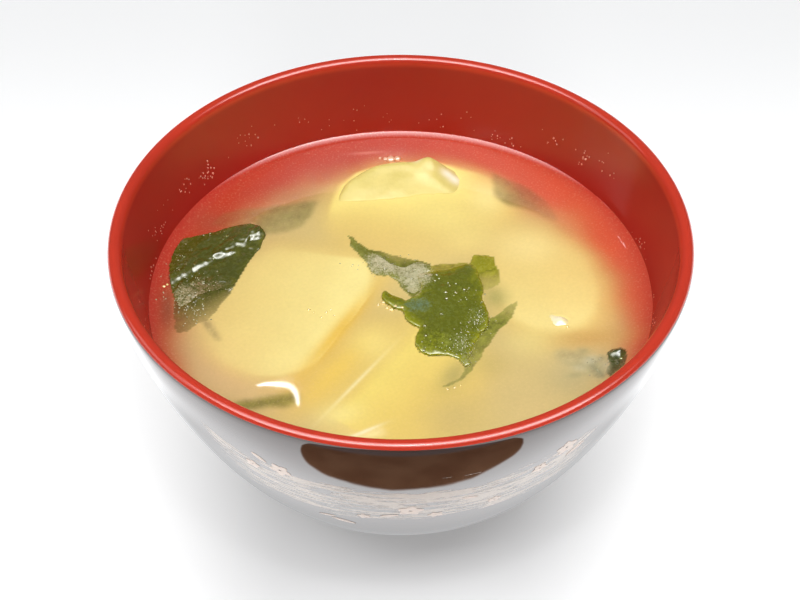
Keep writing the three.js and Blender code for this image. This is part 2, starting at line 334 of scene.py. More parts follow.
red_lacquer, tree, shader = material("red_lacquer", IOR=1.45)
spot = place_on(tree)
on_lip = remap(tree, split(tree, spot)[2], 60.6 * MM, 61.8 * MM)
# The inner wall is painted a darker red than the lip: painted shade on the steep wall.
red = mix(tree, on_lip, (0.345, 0.016, 0.0095, 1.0), (0.54, 0.038, 0.017, 1.0))
colour, height = mottled(tree, red, 45.0, 0.10)
fine_marks = remap(tree, noisy(tree, spot, 900.0, 3.0), 0.3, 0.7, 0.05, 0.11)
dullness = calc(tree, "MULTIPLY_ADD", on_lip, -0.045, 0.10)
feed(tree, shader, Base_Color=colour, Roughness=calc(tree, "ADD", dullness, fine_marks))
bumped(tree, shader, height, 0.08, 0.0003)
bowl.data.materials.append(red_lacquer)

# The outside carries a brushed band in pale gold powder, drawn with a dry brush in long strokes
# that sink towards the middle of each stroke and rise at its ends.
band_low = 40.0
band_rise = 11.0
band_half = 8.6
stroke_turn = math.radians(120)
stroke_reach = math.radians(46)
dark_lacquer, tree, shader = material("dark_lacquer", IOR=1.6)
spot = place_on(tree)
across, along, up = split(tree, spot)
turned = calc(tree, "ADD", calc(tree, "ARCTAN2", along, across), math.radians(90) + 12 * stroke_turn)
from_stroke = calc(tree, "PINGPONG", turned, stroke_turn / 2)
end_share = calc(tree, "DIVIDE", from_stroke, stroke_reach)
rise = calc(tree, "MULTIPLY", calc(tree, "POWER", end_share, 4.0), band_rise * MM)
band_middle = calc(tree, "ADD", rise, band_low * MM)
off_band = calc(tree, "ABSOLUTE", calc(tree, "SUBTRACT", up, band_middle))
drawn_out = calc(tree, "MULTIPLY", calc(tree, "SUBTRACT", up, rise), 14.0)
brushed = add(tree, "CombineXYZ", {0: across, 1: along, 2: drawn_out}).outputs[0]
streaks = noisy(tree, brushed, 95.0, 4.0, Roughness=0.62)
patches = noisy(tree, spot, 60.0, 2.0)
inside_band = remap(tree, calc(tree, "ADD", off_band, calc(tree, "MULTIPLY_ADD", patches, 9 * MM, -4.5 * MM)),
                    (band_half - 1.5) * MM, (band_half + 0.5) * MM, 0.0, 0.32)
stroke_end = remap(tree, from_stroke, math.radians(35), math.radians(48), 0.0, 0.4)
threshold = calc(tree, "ADD", calc(tree, "ADD", inside_band, stroke_end),
                 calc(tree, "MULTIPLY_ADD", patches, -0.30, 0.63))
stroke = remap(tree, calc(tree, "SUBTRACT", streaks, threshold), -0.012, 0.018)
dark = mottled(tree, (0.042, 0.017, 0.010, 1.0), 60.0, 0.2)[0]
powder = mottled(tree, linear(178, 162, 149), 2600.0, 0.25)[0]
feed(tree, shader, Base_Color=mix(tree, stroke, dark, powder),
     Roughness=calc(tree, "MULTIPLY_ADD", stroke, 0.26, 0.045))
bumped(tree, shader, stroke, 0.25, 0.00005)
bowl.data.materials.append(dark_lacquer)
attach(bowl, "root")
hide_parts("bowl")

# ------------ blossoms on the band
# Small five-petalled blossoms and leaf dashes in the same powder, a little raised, drawn over
# the brushed band at the ends of the strokes and near their middle.
blossom_spots = [
    (-88, 37.6, 2.3, 10), (-82.5, 34.5, 1.4, 40), (-57, 50.2, 2.1, 25), (-62, 46, 1.5, 60),
    (-113.5, 48.3, 2, 50), (-120, 46.2, 1.4, 0), (-98, 33.2, 1.2, 30), (-70, 37, 1.3, 15)]
dash_spots = [
    (-103.5, 27.6, 2.6, -25), (-107, 29.6, 1.8, 15), (-54, 47.2, 2.2, 35), (-117.5, 50.6, 1.8, -40),
    (-92.5, 34.6, 1.9, 20), (-76, 41.5, 1.6, -10)]
petal_sides = 14
raised = 0.05


def wall_at(face, height):
    """The radius in millimetres and the steepness of one face of the wall at a height."""
    for (r0, z0), (r1, z1) in zip(face, face[1:]):
        if z0 <= height <= z1 and z1 > z0:
            return r0 + (r1 - r0) * (height - z0) / (z1 - z0), math.atan2(z1 - z0, r1 - r0)
    return rim_radius, math.pi / 2


def on_wall(turn, height, across, up, lift):
    """A point of the outside at a turn and height, moved across and up along the wall, in metres."""
    slant = math.hypot(1.0, wall_at(outer_face, height + 0.5)[0] - wall_at(outer_face, height - 0.5)[0])
    at_height = height + up / slant
    radius = wall_at(outer_face, at_height)[0] + lift / slant
    angle = turn + across / radius
    return Vector((radius * math.cos(angle), radius * math.sin(angle), at_height - lift * 0.3)) * MM


blossom_bm = bmesh.new()


def petal(turn, height, length, width, direction, start):
    """One raised petal that points away from a middle on the wall."""
    disc = bmesh.ops.create_circle(blossom_bm, cap_ends=True, segments=petal_sides, radius=1.0)["verts"]
    grown = bmesh.ops.extrude_face_region(blossom_bm, geom=list({f for v in disc for f in v.link_faces}))
    top = [v for v in grown["geom"] if isinstance(v, bmesh.types.BMVert)]
    for lift, verts in ((-0.06, disc), (raised, top)):
        for vert in verts:
            along = start + length * (vert.co.x + 1) / 2
            wide = width * vert.co.y * (0.55 + 0.45 * math.sin(math.pi * (vert.co.x + 1) / 2))
            across = along * math.cos(direction) - wide * math.sin(direction)
            up = along * math.sin(direction) + wide * math.cos(direction)
            vert.co = on_wall(turn, height, across, up, lift)


for third in range(3):
    for turn, height, size, spin in blossom_spots:
        centre_turn = math.radians(turn + third * 120)
        for leaf in range(5):
            petal(centre_turn, height, size, size * 0.42, math.radians(spin + 72 * leaf), size * 0.12)
    for turn, height, size, tilt in dash_spots:
        petal(math.radians(turn + third * 120), height, size * 2, size * 0.32, math.radians(tilt), -size)
bmesh.ops.recalc_face_normals(blossom_bm, faces=blossom_bm.faces)
blossoms = shown("gold_blossoms", blossom_bm)
gold_powder, tree, shader = material("gold_powder", IOR=1.5)
colour, height = mottled(tree, linear(212, 190, 176), 2600.0, 0.25)
feed(tree, shader, Base_Color=colour, Roughness=remap(tree, height, 0.3, 0.7, 0.28, 0.42))
bumped(tree, shader, height, 0.2, 0.00003)
blossoms.data.materials.append(gold_powder)
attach(blossoms, "root")

# ------------ potato chunks
# Boiled potato cut into bite-sized chunks with a knife. The cut faces are flat, the corners have
# boiled round, and the wet surface is a little grainy with starch.
calm = 44.5
# Each chunk: how far it sank, its colour, its gloss and its painted shade, which darkens a chunk that stands
# lit out of the soup. Crests raise what stands out.
boiled = {"potato_back": (1.3, (247, 228, 134), 0.12, 0.78), "potato_left": (2.0, (247, 233, 153), 0.3, 1.0),
          "potato_front": (1.9, (238, 216, 116), 0.3, 1.0), "potato_right": (1.6, (241, 221, 142), 0.9, 0.95),
          "potato_sliver": (2.6, (248, 232, 164), 0.3, 1.0)}
crests = {"potato_back": [((6.3, 38.8), 2.8, 2.3), ((11.5, 35.0), 3.0, 0.7)],
          "potato_right": [((32.0, -8.4), 1.3, 1.0), ((30.4, -7.0), 0.8, 0.5)]}
# Painted highlights on the wet shoulders that stand out: the place, the reach and the strength.
painted_shoulder_highlights = {"potato_back": [((10.2, 36.4), 1.3, 0.9), ((11.9, 34.9), 1.3, 0.9), ((3.6, 38.6), 1.0, 0.5)],
           "potato_right": [((31.6, -8.2), 1.6, 0.8)]}
chunk_grain = 0.55
chunk_smoothing = 3


def merged(node):
    """A bmesh of a CAD node with its loose triangles joined."""
    joined = bmesh.new()
    joined.from_mesh(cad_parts[node].data)
    bmesh.ops.remove_doubles(joined, verts=joined.verts, dist=1e-6)
    return joined


def remade(name, solid, grain, smoothing):
    """The solid with an even, fine mesh and rounded corners, as a new object."""
    made = shown(name, solid)
    even = made.modifiers.new("even", "REMESH")
    even.mode = "VOXEL"
    even.voxel_size = grain * MM
    rounding = made.modifiers.new("rounding", "SMOOTH")
    rounding.factor = 0.5
    rounding.iterations = smoothing
    finished = bpy.data.meshes.new_from_object(made.evaluated_get(bpy.context.evaluated_depsgraph_get()))
    made.modifiers.clear()
    made.data = finished
    for face in finished.polygons:
        face.use_smooth = True
    return made


def wet_potato(name, tint, gloss, painted_shade):
    """The flesh of a chunk: pale yellow, cloudy, a little grainy, under a wet gloss, darkened by its painted
    shade and turned near white by painted highlights.
    """
    made, tree, shader = material(name, Coat_Weight=gloss, Coat_Roughness=0.05, IOR=1.25)
    # painted shade: the flesh darkened where a chunk stands lit out of the soup
    flesh = [part * painted_shade for part in linear(*tint)[:3]] + [1.0]
    painted_highlight = add(tree, "Attribute", {}, attribute_name="painted_highlight").outputs["Fac"]
    # painted highlight: the flesh turned near white on the wet shoulders
    flesh = mix(tree, painted_highlight, flesh, linear(255, 252, 226))
    colour, height = mottled(tree, flesh, 150.0, 0.08)
    colour, fine_height = mottled(tree, colour, 900.0, 0.05)
    feed(tree, shader, Base_Color=colour, Roughness=remap(tree, height, 0.3, 0.7, 0.22, 0.38))
    bumped(tree, shader, fine_height, 0.25, 0.0002)
    return made


def raised_at(x, y, spots):
    """The height that soft round bumps add up to at a place."""
    return sum(rise * math.exp(-((x - at_x) ** 2 + (y - at_y) ** 2) / reach ** 2)
               for (at_x, at_y), reach, rise in spots)


chunks = {}
for node, (sink, tint, gloss, painted_shade) in boiled.items():
    chunk = remade(node + "_boiled", merged(node), chunk_grain, chunk_smoothing)
    offset = Vector((len(chunks) * 3.1, 0.0, 0.0))
    outward = [vert.normal.copy() for vert in chunk.data.vertices]
    painted_highlight = chunk.data.attributes.new("painted_highlight", "FLOAT", "POINT")
    for vert, normal in zip(chunk.data.vertices, outward):
        lump = noise.noise(vert.co * 160 + offset) * 0.35 + noise.noise(vert.co * 520 + offset) * 0.07
        vert.co += normal * lump * MM
        x, y, _ = vert.co / MM
        vert.co.z += (raised_at(x, y, crests.get(node, [])) - sink) * MM
        painted_highlight.data[vert.index].value = min(1.0, raised_at(x, y, painted_shoulder_highlights.get(node, [])))
    chunk.data.materials.append(wet_potato(node + "_flesh", tint, gloss, painted_shade))
    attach(chunk, "root")
    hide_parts(node)
    chunks[node] = chunk

# ------------ wakame leaves
# Soft leaves of boiled wakame seaweed, wet and glossy. Some lie folded on the soup, others hang
# under its surface, where the cloudy soup lets only their shade through.
leaf_grain = 0.25
leaf_thickness = 0.6
leaf_smoothing = 4

# Each leaf: its outline and, above (or under) the calm soup, its height. Bumps and wrinkles have
# a place, a reach and a height. All in millimetres. What a leaf leaves out is as usual.
usual_leaf = {"bumps": [], "wrinkles": [], "fold": None, "droop": 0.3, "rim": 0.2}
leaf_looks = {
    "wakame_left": {
        "outline": [
            (-45.8, 15.6), (-44.4, 15.9), (-41, 17.1), (-37.4, 18.5), (-34.3, 19.9), (-31.1, 19.7),
            (-29.7, 18.7), (-28.7, 16.9), (-29.4, 14.4), (-30.6, 11.3), (-31.9, 7.8), (-33.2, 4.4),
            (-34.9, -0.8), (-36.2, -3.3), (-37.5, -5.9), (-38.8, -8.4), (-40.8, -9.4), (-42.6, -11.5),
            (-44.5, -11.9), (-45.4, -10.1), (-45.9, -6.6), (-46.2, -3), (-47, 0), (-47.8, 4.4), (-48.3, 7.4),
            (-48, 10.1), (-47.4, 12), (-46.6, 14)],
        "lift": 0.62, "droop": 0.25, "fold": ((-29.3, 17.1), (-43.6, 5.2), 0.36),
        "bumps": [((-31, 17.5), 4.5, 0.5), ((-41, -11), 6, -1.1), ((-35, -3), 4, -0.6),
                 ((-47.5, 1), 3, 0.1), ((-38, -7), 4, -0.4)],
        "wrinkles": [((-31.5, 17), 4, 0.3), ((-37, 12), 4, 0.26), ((-42, 6.5), 4, 0.22),
                 ((-46, 2), 3, 0.15)], "grain": 48, "deep": (74, 78, 18), "pale": (124, 122, 34), "rim": 0.3},
    "wakame_centre": {
        "outline": [
            (3.2, 4.8), (5.2, 5.5), (7.6, 6.1), (9.9, 6.6), (12, 7.3), (13.5, 8.2), (15, 8.1), (16.1, 6.6),
            (16.3, 3.1), (16.8, 0.6), (16.7, -2.8), (17.5, -4.8), (18, -7.7), (17.6, -9.7), (15.9, -12.5),
            (14.2, -16.1), (13.4, -19.2), (14, -20.5), (12.7, -21.3), (11.3, -19.2), (9.4, -18.2),
            (7.4, -18.4), (5.5, -18.2), (3.8, -17.2), (2.8, -15.3), (3, -12.9), (3.6, -10.9), (2.1, -9.3),
            (0.9, -7.7), (0.1, -5.6), (-1.6, -5), (-2.6, -3.8), (-3.9, -1.9), (-3.7, -0.7), (-3.1, 0),
            (-1.9, -1.1), (-0.1, -2.1), (1.3, -3.2), (2.2, -2.1), (3.5, -0.7), (4, 1.4), (3.4, 3.1)],
        "lift": 0.75, "droop": 0.42, "fold": ((3.5, 3.6), (16.2, 5.6), 0.12),
        "bumps": [((8, -1), 5, 0.35), ((3.6, -6), 2.5, -0.2), ((5, -15.5), 3, 0.15), ((14, -16), 5, -0.25)],
        "wrinkles": [((9, -2), 6, 0.16), ((5, -14), 5, 0.14), ((-2, -2.5), 3, 0.14)], "grain": 100,
        "deep": (96, 102, 16), "pale": (146, 148, 14), "rim": 0.75},
    "wakame_lobe": {
        "outline": [
            (15.1, 11.2), (17.2, 10.9), (19.4, 10.3), (19.9, 7.9), (20.6, 5.5), (20.3, 2.3), (18.6, 0.6),
            (16.5, 0.6), (14.8, 4.8), (14.2, 7), (14.6, 8.5), (14.9, 9.6)],
        "lift": 0.35, "droop": 0.25, "bumps": [((18, 1), 4.5, -1.3)], "grain": 80, "deep": (140, 138, 26),
        "pale": (172, 164, 48), "rim": 0.6},
    "wakame_middle": {
        "outline": [
            (-11.1, 17.2), (-10, 16.7), (-9.2, 14.9), (-6.5, 12.7), (-2.8, 11.6), (0.7, 10.3), (4, 9.2),
            (6.4, 8.2), (6.4, 6.6), (5.2, 5.3), (5.1, 1.4), (3.5, -1.5), (2.8, -2.1), (1.3, -0.7), (0.1, 1),
            (-1, 3.6), (-2.5, 4.6), (-4.3, 4.8), (-6.4, 5.7), (-7, 8.3), (-8.2, 10.3), (-9.5, 12.5),
            (-10.8, 14), (-10.4, 15.2)],
        "lift": 0.35, "bumps": [((0, 12.5), 5, -0.75), ((4, -2), 3, -0.3)],
        "wrinkles": [((-9, 14), 4, 0.12)], "grain": -40, "deep": (110, 112, 40), "pale": (150, 150, 66),
        "rim": 0.5},
    "wakame_front": {
        "outline": [
            (-32.4, -31.3), (-30.8, -30), (-27.9, -29.3), (-24.7, -28.7), (-21.7, -28), (-20, -28),
            (-19.1, -29.3), (-19.8, -30.8), (-22.1, -31.6), (-25.3, -31.8), (-28.7, -32.3), (-31.3, -32.6)],
        "lift": -0.22, "bumps": [((-19, -29.5), 3, -0.3)], "grain": 14, "deep": (122, 118, 46),
        "pale": (140, 130, 56), "rim": 0.3},
    "wakame_edge": {
        "outline": [
            (40.8, -17.6), (41.7, -16.2), (43.3, -15.7), (44.5, -16.5), (44.4, -19.2), (43.5, -21.9),
            (42.2, -23), (40.6, -24.3), (39.9, -23), (40.7, -20.3)],
        "lift": 0.35, "bumps": [((40.5, -23), 3, -0.4), ((43.2, -17.4), 1.1, 0.7)],
        "wrinkles": [((43.3, -18.5), 2.5, 0.25)], "grain": 70, "deep": (58, 66, 30), "pale": (112, 116, 60),
        "rim": 0.5},
    "wakame_back_fold": {
        "outline": [
            (5.2, 7), (6.4, 7.9), (8.2, 8.2), (12.1, 8.6), (14.1, 8.6), (14.1, 6.6), (12, 5.7), (8.1, 5.1),
            (5.8, 4.6)],
        "lift": 0.12, "droop": 0.25, "grain": 0, "deep": (150, 138, 52), "pale": (170, 160, 72), "rim": 0.6},
    "sunk_strip": {
        "outline": [
            (16.5, -7.7), (17.9, -8.1), (20.1, -6.1), (21.9, -3.6), (23.7, -2.6), (23.4, -4.8), (22, -8.1),
            (19.5, -11.3), (17.4, -14.9), (15.6, -18.8), (14.1, -21.9), (12.3, -24.1), (10.3, -25.7),
            (8.7, -26.8), (7.7, -26.6), (9.2, -25.5), (11.2, -24.1), (12.4, -22.3), (13, -20.3),
            (12.8, -17.2), (14.3, -13.3)],
        "lift": -0.02, "droop": 0.1, "bumps": [((23.5, -3), 4.5, -0.6), ((9, -26.5), 4.5, -0.35)],
        "grain": 60, "deep": (128, 130, 48), "pale": (130, 134, 54)},
    "sunk_right": {
        "outline": [
            (30, -17.6), (31.9, -16), (34.3, -17), (36.4, -17.9), (38.8, -18.4), (41, -17.6), (40.5, -23),
            (38.6, -24.6), (36.8, -23.5), (34.9, -21.9), (33.1, -20.8), (31.2, -20.3)],
        "lift": -0.5, "bumps": [((31, -18), 5, -0.9), ((35.5, -20), 1.4, -0.6)],
        "wrinkles": [((36, -20), 6, 0.3)], "grain": 30, "deep": (160, 154, 114), "pale": (160, 154, 118)},
    "sunk_back_left": {
        "outline": [
            (-40.4, 20.9), (-38.5, 24.1), (-34.7, 25.8), (-30, 26.1), (-25.1, 27.1), (-20.8, 28.4),
            (-18, 28.4), (-19.1, 23.5), (-21.5, 19.6), (-25.7, 17.7), (-29.5, 17.7), (-34.3, 19.6),
            (-37.2, 19)],
        "lift": -0.7, "bumps": [((-37, 21), 5, -0.7), ((-24, 18), 4, -0.6)],
        "wrinkles": [((-28, 23), 10, 0.3)], "grain": 10, "deep": (116, 112, 60), "pale": (124, 120, 66)},
    "sunk_back_right": {
        "outline": [
            (20, 38.2), (22.1, 36.8), (24.7, 34.8), (28.1, 32.7), (30.5, 30.1), (32.8, 25.5), (33.8, 21.6),
            (30.9, 22.9), (27.6, 25.5), (23.4, 26.8), (20.5, 29.4)],
        "lift": -0.65, "bumps": [((32.5, 24), 5, -0.9), ((27.5, 32), 3, -0.3)],
        "wrinkles": [((26.5, 31), 10, 0.4)], "grain": -45, "deep": (98, 90, 48), "pale": (110, 100, 54)},
    "sunk_bit": {
        "outline": [
            (-40.4, -7.8), (-38.2, -8.4), (-35.8, -13.4), (-36.6, -13.8), (-38.6, -11.2)],
        "lift": -0.2, "droop": 0.2, "grain": -60, "deep": (172, 150, 98), "pale": (172, 150, 98)},
}

# Milky foam and broth that lie on a leaf: the place in mm, the reach, the colour, the strength.
leaf_films = [
    ((3.4, -4.8), (3.4, 2.6), (104, 126, 96), 0.80), ((8.4, -6.6), (3.4, 2), (104, 116, 50), 0.40),
    ((15.4, -8.4), (3, 4.4), (132, 142, 88), 0.42), ((12.6, -14.8), (2.6, 4.6), (134, 140, 82), 0.45),
    ((10, -15.2), (3, 3), (134, 142, 70), 0.45), ((13.2, -19.6), (1.8, 2.2), (160, 160, 110), 0.7),
    ((14.6, 7), (1.8, 1.4), (112, 124, 66), 0.5), ((6.6, -14.6), (4, 4), (140, 146, 20), 0.5),
    ((-3, 8.4), (6.4, 4.2), (198, 190, 152), 0.95), ((3, 4.6), (4.4, 5.6), (190, 184, 146), 0.95),
    ((2.4, -0.6), (2, 2), (176, 168, 124), 0.7), ((18.6, 2.4), (2.6, 3.2), (184, 172, 104), 0.5),
    ((-44, -1.6), (4, 4.6), (176, 164, 124), 0.62), ((-42.6, -6.6), (4.2, 4.4), (180, 166, 124), 0.7),
    ((-41, -10.4), (5, 3.4), (196, 176, 132), 0.8), ((-40.2, 1.4), (3.6, 3.2), (156, 128, 94), 0.52),
    ((-46.2, 14.4), (1.8, 1.8), (126, 124, 104), 0.5), ((-44.8, 8.6), (3.8, 4.8), (104, 92, 62), 0.34),
    ((-36.4, 1.6), (2.6, 3.4), (126, 112, 72), 0.4), ((42.4, -21.6), (2, 2.8), (130, 124, 92), 0.6),
    ((41.4, -17.6), (1.2, 2), (130, 124, 92), 0.5)]


def film_at(x, y, films):
    """The colour and share of what lies over a leaf at a place in millimetres."""
    colour, share = Vector((0.0, 0.0, 0.0)), 0.0
    for (film_x, film_y), (reach_x, reach_y), tint, strength in films:
        away = math.hypot((x - film_x) / reach_x, (y - film_y) / reach_y)
        weight = strength * max(0.0, 1 - away * away) ** 0.7
        if weight > 0:
            colour = colour.lerp(Vector(linear(*tint)[:3]), weight / (weight + share * (1 - weight) + 1e-9))
            share = share + weight * (1 - share)
    return colour, share


def leaf_material(name, deep, pale):
    """Wet leaf: deep green that turns paler where the leaf is thin, with specks of foam on it."""
    made, tree, shader = material(name, Coat_Weight=0.8, Coat_Roughness=0.04, IOR=1.36)
    spot = place_on(tree)
    thin = add(tree, "Attribute", {}, attribute_name="thin").outputs["Fac"]
    vein = noisy(tree, spot, 420.0, 4.0, Distortion=1.2)
    share = calc(tree, "ADD", thin, calc(tree, "MULTIPLY_ADD", vein, 1.1, -0.5))
    veined = mix(tree, remap(tree, share, 0.0, 1.0), linear(*deep), linear(*pale))
    haze = add(tree, "Attribute", {}, attribute_name="haze")
    specks = calc(tree, "MULTIPLY_ADD", noisy(tree, spot, 2600.0, 2.0), 1.2, -0.6)
    cover = calc(tree, "ADD", haze.outputs["Alpha"], specks)
    covered = mix(tree, remap(tree, cover, 0.15, 0.95), veined, haze.outputs["Color"])
    colour, height = mottled(tree, covered, 1300.0, 0.18)
    feed(tree, shader, Base_Color=colour, Roughness=remap(tree, height, 0.3, 0.7, 0.16, 0.34))
    bumped(tree, shader, calc(tree, "ADD", height, vein), 0.35, 0.00012)
    return made


# without a seed, noise_vector takes its offsets from the clock, and the leaves differ on each run
noise.seed_set(7)
leaves = {}
for name, special in leaf_looks.items():
    look = {**usual_leaf, **special}
    sheet = bmesh.new()
    face = sheet.faces.new([sheet.verts.new((x * MM, y * MM, calm * MM)) for x, y in look["outline"]])
    grown = bmesh.ops.extrude_face_region(sheet, geom=[face])
    lowered = [v for v in grown["geom"] if isinstance(v, bmesh.types.BMVert)]
    bmesh.ops.translate(sheet, verts=lowered, vec=(0, 0, -leaf_thickness * MM))
    bmesh.ops.triangulate(sheet, faces=sheet.faces)
    bmesh.ops.recalc_face_normals(sheet, faces=sheet.faces)
    leaf = remade(name + "_leaf", sheet, leaf_grain, leaf_smoothing)
    verts = leaf.data.vertices
    border = [v.co.copy() for v in verts if abs(v.normal.z) < 0.5]
    border_tree = KDTree(len(border))
    for index, place in enumerate(border):
        border_tree.insert(place, index)
    border_tree.balance()
    thin = leaf.data.attributes.new("thin", "FLOAT", "POINT")
    haze = leaf.data.color_attributes.new("haze", "FLOAT_COLOR", "POINT")
    grain = math.radians(look["grain"])
    for vert in verts:
        x, y, z = vert.co / MM
        inward = border_tree.find(vert.co)[2] / MM
        thin.data[vert.index].value = look["rim"] * math.exp(-inward / 1.1)
        colour, share = film_at(x, y, leaf_films)
        haze.data[vert.index].color = (*colour, share * (0.85 + 0.5 * noise.noise(Vector((x, y, 3.0)) * 0.9)))
        along = x * math.cos(grain) + y * math.sin(grain)
        over = y * math.cos(grain) - x * math.sin(grain)
        rise = look["lift"] + raised_at(x, y, look["bumps"]) - look["droop"] * math.exp(-inward / 0.8)
        rise += noise.noise(Vector((along * 0.16, over * 0.4, 2.0))) * 0.16
        if look["wrinkles"]:
            rough = noise.noise(Vector((along * 0.42, over * 0.85, 7.0)))
            rough += noise.noise(Vector((along * 0.9, over * 1.7, 11.0))) * 0.4
            rise += rough * raised_at(x, y, look["wrinkles"]) * 1.6
        if look["fold"]:
            (x0, y0), (x1, y1), step = look["fold"]
            wobble = noise.noise(Vector((along * 0.35, 0.0, 4.0)))
            side = ((x1 - x0) * (y0 - y) - (x0 - x) * (y1 - y0)) / math.hypot(x1 - x0, y1 - y0)
            rise += step * math.tanh((side + wobble) / 0.55)
        wave = noise.noise_vector(Vector((x, y, 0.0)) * 0.42)
        fray = noise.noise_vector(Vector((x, y, 5.0)) * 1.3)
        vert.co += Vector((wave.x * 0.35 + fray.x * 0.12, wave.y * 0.35 + fray.y * 0.12, rise)) * MM
    leaf.data.materials.append(leaf_material(name + "_green", look["deep"], look["pale"]))
    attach(leaf, "root")
    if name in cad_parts:
        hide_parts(name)
    leaves[name] = leaf

# ------------ soup
# Cloudy miso soup that fills the bowl. It climbs a little up the wall and round what stands out
# of it, and shows what lies just under its surface the more faintly the deeper it lies.
cells = 288
climb = 1.5
climb_reach = 1.7
soup_radius = max(r for r, z in inner_face if z <= calm + climb) + 0.35
soup_bm = bmesh.new()
bmesh.ops.create_grid(soup_bm, x_segments=cells, y_segments=cells, size=1.0)
soup_bm.verts.ensure_lookup_table()
flat = np.array([v.co[:2] for v in soup_bm.verts])
column = np.rint((flat[:, 0] + 1) / 2 * cells).astype(int)
row = np.rint((flat[:, 1] + 1) / 2 * cells).astype(int)
disc_x = flat[:, 0] * np.sqrt(1 - flat[:, 1] ** 2 / 2) * soup_radius
disc_y = flat[:, 1] * np.sqrt(1 - flat[:, 0] ** 2 / 2) * soup_radius


def top_under(piece):
    """The height in mm of a piece's top under each point of the soup's surface, or far below."""
    verts = piece.data.vertices
    solid = BVHTree.FromPolygons([v.co for v in verts], [p.vertices for p in piece.data.polygons])
    places = np.array([v.co[:] for v in verts]) / MM
    low, high = places.min(0), places.max(0)
    heights = np.full(len(flat), -1e3)
    near = np.nonzero((disc_x > low[0]) & (disc_x < high[0]) & (disc_y > low[1]) & (disc_y < high[1]))[0]
    for index in near:
        start = Vector((disc_x[index] * MM, disc_y[index] * MM, 0.08))
        hit = solid.ray_cast(start, Vector((0.0, 0.0, -1.0)))[0]
        if hit is not None:
            heights[index] = hit.z / MM
    return heights


def blurred(values, reach):
    """The values over the surface, spread over a reach in mm as cloudy soup spreads light."""
    grid = np.zeros((cells + 1, cells + 1))
    grid[row, column] = values
    width = max(1, int(round(reach / (2 * soup_radius / cells))))
    size = 2 * width + 1
    for _ in range(2):
        for _ in range(3):
            sums = np.cumsum(np.pad(grid, [(width + 1, width), (0, 0)], mode="edge"), axis=0)
            grid = (sums[size:] - sums[:-size]) / size
        grid = grid.T
    return grid[row, column]


def tone(*screen):
    """A colour of the screen as light, for a sum over the surface."""
    return np.array(linear(*screen)[:3])


def blend(first, second, share):
    """Two sets of colours, or of single values, mixed by a share at each point."""
    if np.shape(first)[-1] == 3:
        share = share[:, None]
    return first * (1 - share) + second * share


def washed(colours, washes):
    """Colours under soft oval washes: the middle, the reach, the turn, the colour, the strength."""
    for (at_x, at_y), (far, wide), turn, colour, strength in washes:
        turned_x = (disc_x - at_x) * math.cos(turn) + (disc_y - at_y) * math.sin(turn)
        turned_y = (disc_y - at_y) * math.cos(turn) - (disc_x - at_x) * math.sin(turn)
        away = (turned_x / far) ** 2 + (turned_y / wide) ** 2
        colours = blend(colours, tone(*colour), strength * np.exp(-away))
    return colours


def clouds(*layers):
    """Soft noise over the surface: each layer's strength, its fineness and its place in the noise."""
    return np.array([sum(strength * noise.noise(Vector((x * fine, y * fine, height)))
                         for strength, fine, height in layers) for x, y in zip(disc_x, disc_y)])


# Broth colour: tan, yellower in the middle, peach at the left, red towards the wall behind. Its washes hold
# painted shade too: darker tan along the left and front-left wall, and golden in the gap between the left and
# front chunks, partly deeper soup.
from_axis = np.hypot(disc_x, disc_y)
to_wall = soup_radius - from_axis
behind = disc_y / np.maximum(from_axis, 1e-6)
broth = washed(np.tile(tone(208, 186, 122), (len(flat), 1)), [
    ((-33, -20), (14, 11), -0.6, (222, 184, 134), 0.8), ((0, 12), (14, 9), 0, (238, 212, 130), 0.7),
    ((38, -2), (7, 12), 0, (224, 168, 110), 0.8), ((18, -34), (16, 9), 0.2, (210, 188, 128), 0.8),
    # the first wash here: golden, partly deeper soup and partly painted shade in the gap between the left and
    # front chunks
    ((-14, -12), (3.6, 16), -0.45, (226, 176, 68), 0.95), ((24, 26), (8, 5), -0.6, (214, 158, 100), 0.6),
    ((2, -32), (12, 10), 0.3, (234, 206, 100), 0.5), ((-30, 14), (7, 6), 0.3, (200, 164, 112), 0.4),
    # the first wash here and the one on the next line: painted shade of the wall, darker tan along the left
    # and front-left
    ((-47, -12), (4.5, 15), 0.25, (172, 128, 88), 0.85), ((44, -20), (4.5, 9), -0.3, (192, 146, 88), 0.7),
    ((-32, -35), (8, 4), -0.75, (180, 150, 92), 0.6)])
facings = [-1.0, -0.35, 0.0, 0.4, 1.0]
all_red_to = np.interp(behind, facings, [0.2, 0.9, 2.0, 6.0, 8.0])
no_red_from = np.interp(behind, facings, [2.0, 6.5, 13.0, 17.0, 19.0])
cloudy = clouds((1.0, 0.16, 6.0), (0.5, 0.5, 8.0))
into_red = to_wall + (1.7 + 0.9 * np.clip(behind * 3, -1, 1)) * cloudy * np.clip(to_wall / 5, 0, 1)
bleed = np.clip((no_red_from - into_red) / (no_red_from - all_red_to), 0, 1)
bleed = bleed * bleed * (3 - 2 * bleed)
# The wall's red under the soup is painted lighter towards the right: painted light on the right wall, which
# is more lit.
red_broth = blend(tone(184, 66, 44), tone(214, 94, 64), np.clip(disc_x / 45, 0, 1))
red_broth = blend(red_broth, tone(186, 50, 38), np.exp(-to_wall / 1.8))
reddish = blend(tone(200, 132, 84), red_broth, np.clip(bleed * 2 - 1, 0, 1))
colours = blend(broth, reddish, np.clip(bleed * 2, 0, 1))

